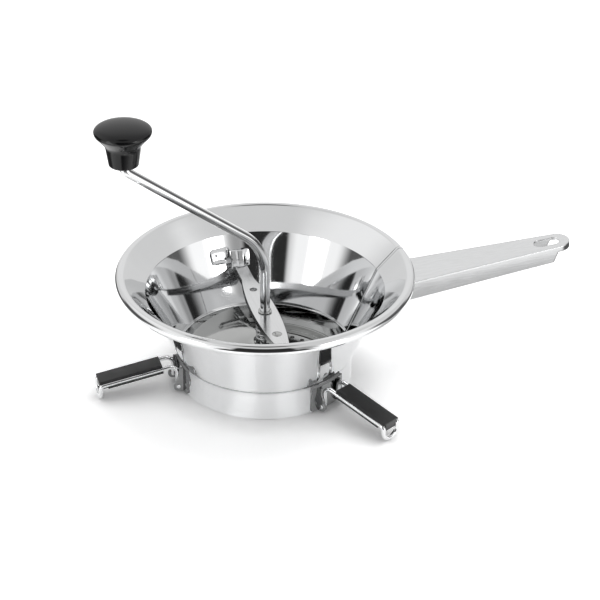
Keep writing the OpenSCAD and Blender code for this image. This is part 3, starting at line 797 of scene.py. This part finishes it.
class FOODMILL_OT_handle(bpy.types.Operator):
    """Forms the channel handle from its node, with its folds rounded"""

    bl_idname = "foodmill.handle"
    bl_label = "Handle"

    def execute(self, context):
        handle = merged_copy("handle", "handle_channel")
        eased(handle, 0.5 * MM, segments=3, limit=40)
        smooth(handle, 40)
        apply(handle, "WEIGHTED_NORMAL", keep_sharp=True)
        steel = shared("brushed_handle", drawn_steel, (14, 1500, 1500), 0.07, 0.16, fold_r=1.3 * MM)
        dress(handle, "handle_channel", steel, "bowl", "satin_steel", "handle")
        return {"FINISHED"}


class FOODMILL_OT_fittings(bpy.types.Operator):
    """Finishes the brackets, crossbar and the small pieces on the shaft"""

    bl_idname = "foodmill.fittings"
    bl_label = "Fittings"

    def execute(self, context):
        across = (300, 300, 1600)
        sprung = shared("spring_wire", drawn_steel, across, 0.08, 0.2, share=0.62, depth=0.02 * MM)
        # The brackets' steel at 0.36 of the steel colour is painted shade
        shaded_bracket = shared("bracket_steel", drawn_steel, across, 0.06, 0.16, share=0.36, depth=0.02 * MM)
        pressed = shared("pressed_steel", pressed_steel)
        brushed = shared("brushed_bar", drawn_steel, (1500, 30, 1500), 0.12, 0.24, share=0.97)
        rows = [
            ("grid_disc", pressed, "bowl", "inner_steel"),
            ("crossbar", brushed, "bar", "satin_steel"),
            ("bar_rivet", pressed, "bar", "inner_steel"),
            ("spring_washer", pressed, "press", "spring_steel"),
            ("shaft_clip", pressed, "crank", "inner_steel"),
            ("blade_hub", pressed, "crank", "inner_steel"),
            ("blade", pressed, "crank", "inner_steel"),
            ("spring", sprung, "bar", "spring_steel"),
        ]
        rows += [(f"bracket_{n}", shaded_bracket, "bowl", "stamped_steel") for n in LEGS]
        for node, steel, body, slot in rows:
            piece = merged_copy(node, node + "_piece")
            if node not in ("spring", "blade", "grid_disc"):  # their edges are too fine or too many to round
                eased(piece, 0.15 * MM, segments=2, limit=40)
            smooth(piece, 40)
            apply(piece, "WEIGHTED_NORMAL", keep_sharp=True)
            dress(piece, node + "_piece", steel, body, slot, node)
            if node == "spring":
                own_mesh(piece)
        return {"FINISHED"}


class FOODMILL_OT_crank(bpy.types.Operator):
    """Bends the crank's rod from the shaft to the knob"""

    bl_idname = "foodmill.crank"
    bl_label = "Crank"

    def execute(self, context):
        spindle = joint_point("knob_spin")
        out = Vector((spindle.x, spindle.y, 0))
        corner = UP * CRANK_CORNER_Z
        knob_corner = out + UP * (spindle.z - KNOB_BEND_R * 0.6)
        top = out + UP * (spindle.z + ROD_IN_KNOB)
        rod = bent_rod([UP * HUB_FOOT, corner, knob_corner, top], [CRANK_BEND_R, KNOB_BEND_R],
                       sizes().rod_d, sides=40, per_bend=24)
        smooth(rod, 40)
        steel = shared("crank_steel", drawn_steel, (160, 160, 160), 0.04, 0.08, depth=0.01 * MM)
        dress(rod, "crank_rod_piece", steel, "crank", "bright_rod", "crank_rod")
        return {"FINISHED"}


class FOODMILL_OT_knob(bpy.types.Operator):
    """Turns the mushroom knob"""

    bl_idname = "foodmill.knob"
    bl_label = "Knob"

    def execute(self, context):
        spindle = joint_point("knob_spin")
        r = sizes().knob_d / 2
        high = KNOB_HIGH.z - KNOB_LOW.z
        foot, edge = KNOB_FOOT_R, KNOB_EDGE_R
        widest = high - KNOB_DOME
        shoulder = Vector((r, widest - SHOULDER_DROP))
        middle = KNOB_NECK.lerp(shoulder, 0.6)
        profile = [(KNOB_BORE_R, KNOB_BORE_DEEP), (KNOB_BORE_R, 0)]
        profile += [tuple(p) for p in arc((foot - edge, edge), edge, -90, 90, 4)]
        profile += [tuple(p) for p in rounded([(foot, edge), KNOB_NECK, middle], NECK_BEND_R, 8)[1:]]
        profile += [tuple(p) for p in rounded([middle, shoulder, (r, widest)], SHOULDER_BEND_R, 6)[1:]]
        for i in range(1, 16):
            angle = math.radians(90 * i / 16)
            profile.append((r * math.cos(angle), widest + KNOB_DOME * math.sin(angle)))
        profile.append((0, high))
        knob = lathe(profile, segments=96)
        place(knob, Matrix.Translation(spindle))
        smooth(knob, 60)
        dress(knob, "knob_piece", shared("knob_gloss", knob_plastic), "knob", "knob_plastic", "knob")
        return {"FINISHED"}


def leg_wire():
    """One leg's wire in one length, from pin to pin round the foot, pointing along X."""
    d = sizes().wire_d
    y = LEG_HALF_W
    hinge = joint_point("leg_fold_2")
    hinge_r = math.hypot(hinge.x, hinge.y)
    foot_r = -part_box("leg_wire_2")[0].x - d / 2
    half = [(hinge_r, PIN_HALF_W, hinge.z), (hinge_r, y, hinge.z), (hinge_r, y, KNEE_Z),
            (foot_r, y, FOOT_BEND_Z), (foot_r, y, d / 2)]
    loop_r = y - 0.02 * MM  # the two bends of the foot's loop all but meet
    back = [(x, -side, z) for x, side, z in reversed(half)]
    radii = (*LEG_BEND_RS, loop_r, loop_r, *reversed(LEG_BEND_RS))
    wire = bent_rod(half + back, radii, d, sides=20, per_bend=10)
    return eased(wire, 0.3 * MM, segments=2, limit=60)


class FOODMILL_OT_legs(bpy.types.Operator):
    """Bends the three leg wires and moulds their grips"""

    bl_idname = "foodmill.legs"
    bl_label = "Legs"

    def execute(self, context):
        chrome = shared("wire_steel", drawn_steel, (160, 160, 160), 0.05, 0.1, depth=0.01 * MM)
        black = shared("grip_grain", grip_plastic)
        wire = leg_wire()
        for n in LEGS:
            twin = copied(wire, f"leg_wire_{n}_piece")
            twin.data.transform(Matrix.Rotation(LEG_TURNS[n - 1], 4, "Z"))
            smooth(twin, 40)
            dress(twin, f"leg_wire_{n}_piece", chrome, f"leg_{n}", "bright_rod", f"leg_wire_{n}")
            grip = merged_copy(f"leg_grip_{n}", f"leg_grip_{n}_piece")
            eased(grip, 0.4 * MM, segments=3, limit=30)
            smooth(grip, 50)
            dress(grip, f"leg_grip_{n}_piece", black, f"leg_{n}", "grip_plastic", f"leg_grip_{n}")
        bpy.data.objects.remove(wire)
        return {"FINISHED"}


# ---------------------------------------------------------------- stage

def seen_or_mirrored(nodes, path):
    """One where a ray comes from the camera, off a glossy surface or through a clear one."""
    bent = nodes.math("MAXIMUM", path.outputs["Is Glossy Ray"], path.outputs["Is Transmission Ray"])
    return nodes.math("MAXIMUM", path.outputs["Is Camera Ray"], bent)


def floor_material():
    """A white floor that keeps the mill's shadow, with a painted contact shadow in its colour, and in what
    steel mirrors painted bright and dark patches for the studio's lamps and flags and a painted darker strip
    for the handle's side.
    """
    f = Finish("floor", tuple(finish().floor), 0.0, 1.0)
    f.shader.inputs["Specular IOR Level"].default_value = 0.0
    path = f.node("ShaderNodeLightPath")
    radius, _, side = f.polar(FRONT_TURN)
    fibres = f.noise(f.place, scale=9, detail=3)
    white = f.spread(fibres, *PAPER_TONES)
    tone = white
    # Painted reflections: bright and dark patches in the tone that only mirrored rays see
    for left, right, near, far, soft_side, soft_far, target in PAINTED_FLOOR_REFLECTIONS:
        mask = f.math("MULTIPLY", f.between(side, left, right, soft_side),
                      f.between(radius, near, far, soft_far))
        tone = f.patch(tone, mask, target)
    # The painted darker strip that the handle's side mirrors
    parts = f.node("ShaderNodeSeparateXYZ")
    f.link(f.place, parts.inputs[0])
    painted_strip = f.math("MULTIPLY", f.between(parts.outputs[0], *PAINTED_STRIP_X), f.between(parts.outputs[1], *PAINTED_STRIP_Y))
    tone = f.patch(tone, painted_strip, PAINTED_STRIP_TONE)
    # Painted contact shadow: the floor's colour darkens near the mill
    painted_shadow = f.node("ShaderNodeAmbientOcclusion")
    painted_shadow.inputs["Distance"].default_value = PAINTED_SHADOW_REACH
    white = f.math("MULTIPLY", white, f.spread(painted_shadow.outputs["AO"], PAINTED_SHADOW_SHARE, 1, 0.2, 0.95))
    paper = f.node("ShaderNodeBsdfDiffuse")
    f.link(f.patch(white, path.outputs["Is Glossy Ray"], tone), paper.inputs["Color"])
    mix = f.node("ShaderNodeMixShader")
    f.link(seen_or_mirrored(f, path), mix.inputs[0])
    f.link(f.shader.outputs[0], mix.inputs[1])
    f.link(paper.outputs[0], mix.inputs[2])
    f.link(mix.outputs[0], f.tree.nodes["Material Output"].inputs["Surface"])
    return f.material


def studio_world():
    """A plain pale room, with the bright panels and dark flags of a studio in what steel mirrors."""
    world = bpy.data.worlds.new("studio")
    world.use_nodes = True
    w = Nodes(world.node_tree)
    turn = w.node("ShaderNodeMapping")
    turn.inputs["Rotation"].default_value = (0, 0, FRONT_TURN)
    w.link(w.node("ShaderNodeTexCoord").outputs["Generated"], turn.inputs["Vector"])
    parts = w.node("ShaderNodeSeparateXYZ")
    w.link(turn.outputs[0], parts.inputs[0])
    x, y, z = parts.outputs
    side = w.math("MULTIPLY", w.math("ARCTAN2", y, x), math.degrees(1))
    high = w.math("MULTIPLY", w.math("ARCSINE", z), math.degrees(1))
    room = w.spread(high, *ROOM_TONES, 20, 75)
    for left, right, low, top, soft_side, soft_high, tone in STUDIO_PANELS:
        mask = w.math("MULTIPLY", w.between(side, left, right, soft_side),
                      w.between(high, low, top, soft_high))
        room = w.patch(room, mask, tone)
    mirrored = w.node("ShaderNodeBackground")
    w.link(room, mirrored.inputs["Color"])
    plain = w.tree.nodes["Background"]
    plain.inputs["Color"].default_value = (1, 1, 1, 1)
    path = w.node("ShaderNodeLightPath")
    w.link(w.patch(AMBIENT_TONE, path.outputs["Is Camera Ray"], BACKDROP_TONE), plain.inputs["Strength"])
    mix = w.node("ShaderNodeMixShader")
    w.link(path.outputs["Is Glossy Ray"], mix.inputs[0])
    w.link(plain.outputs[0], mix.inputs[1])
    w.link(mirrored.outputs[0], mix.inputs[2])
    w.link(mix.outputs[0], w.tree.nodes["World Output"].inputs["Surface"])
    return world


class FOODMILL_OT_stage(bpy.types.Operator):
    """Sets the floor, the soft light and the camera"""

    bl_idname = "foodmill.stage"
    bl_label = "Stage"

    def execute(self, context):
        scene = context.scene
        scene.view_settings.view_transform = "Standard"
        bpy.ops.object.select_all(action="DESELECT")
        bpy.ops.mesh.primitive_plane_add(size=FLOOR_W)
        floor = context.object
        floor.name = "floor"
        floor.data.materials.append(floor_material())

        scene.world = studio_world()
        light = bpy.data.lights.new("softbox", "AREA")
        light.energy = LAMP_WATTS
        light.size = LAMP_W
        lamp = bpy.data.objects.new("softbox", light)
        lamp.location = LAMP_AT
        lamp.rotation_euler = (LAMP_AIM - LAMP_AT).to_track_quat("-Z", "Y").to_euler()
        lamp.visible_glossy = False
        scene.collection.objects.link(lamp)

        level = math.cos(CAMERA_PITCH)
        back = Vector((math.sin(CAMERA_TURN) * level, -math.cos(CAMERA_TURN) * level, math.sin(CAMERA_PITCH)))
        lens = bpy.data.cameras.new("camera")
        lens.lens = LENS_MM
        lens.shift_x, lens.shift_y = LENS_SHIFT
        camera = bpy.data.objects.new("camera", lens)
        camera.location = CAMERA_AIM + back * CAMERA_AWAY
        camera.rotation_euler = (-back).to_track_quat("-Z", "Y").to_euler()
        scene.collection.objects.link(camera)
        scene.camera = camera
        return {"FINISHED"}


# ---------------------------------------------------------------- panel and main

class FOODMILL_PT_panel(bpy.types.Panel):
    """Lists the mill's pieces"""

    bl_idname = "FOODMILL_PT_panel"
    bl_label = "Food Mill"
    bl_space_type = "VIEW_3D"
    bl_region_type = "UI"
    bl_category = "Food Mill"

    def draw(self, context):
        for operator in OPERATORS:
            self.layout.operator(operator.bl_idname)
        for name in FoodMillSizes.__annotations__:
            self.layout.prop(context.scene.food_mill_sizes, name)
        for name in FoodMillFinish.__annotations__:
            self.layout.prop(context.scene.food_mill_finish, name)


OPERATORS = (FOODMILL_OT_stage, FOODMILL_OT_bowl, FOODMILL_OT_hooks, FOODMILL_OT_handle,
             FOODMILL_OT_fittings, FOODMILL_OT_crank, FOODMILL_OT_knob, FOODMILL_OT_legs)
CLASSES = (FoodMillSizes, FoodMillFinish, *OPERATORS, FOODMILL_PT_panel)


def register():
    """Registers the classes and hangs the settings on the scene."""
    for cls in CLASSES:
        bpy.utils.register_class(cls)
    bpy.types.Scene.food_mill_sizes = bpy.props.PointerProperty(type=FoodMillSizes)
    bpy.types.Scene.food_mill_finish = bpy.props.PointerProperty(type=FoodMillFinish)


def unregister():
    """Removes the settings and the classes."""
    del bpy.types.Scene.food_mill_finish
    del bpy.types.Scene.food_mill_sizes
    for cls in reversed(CLASSES):
        bpy.utils.unregister_class(cls)


def main():
    """Builds the whole mill."""
    register()
    bpy.ops.foodmill.stage()
    bpy.ops.foodmill.bowl()
    bpy.ops.foodmill.hooks()
    bpy.ops.foodmill.handle()
    bpy.ops.foodmill.fittings()
    bpy.ops.foodmill.crank()
    bpy.ops.foodmill.knob()
    bpy.ops.foodmill.legs()


if __name__ == "__main__":
    main()
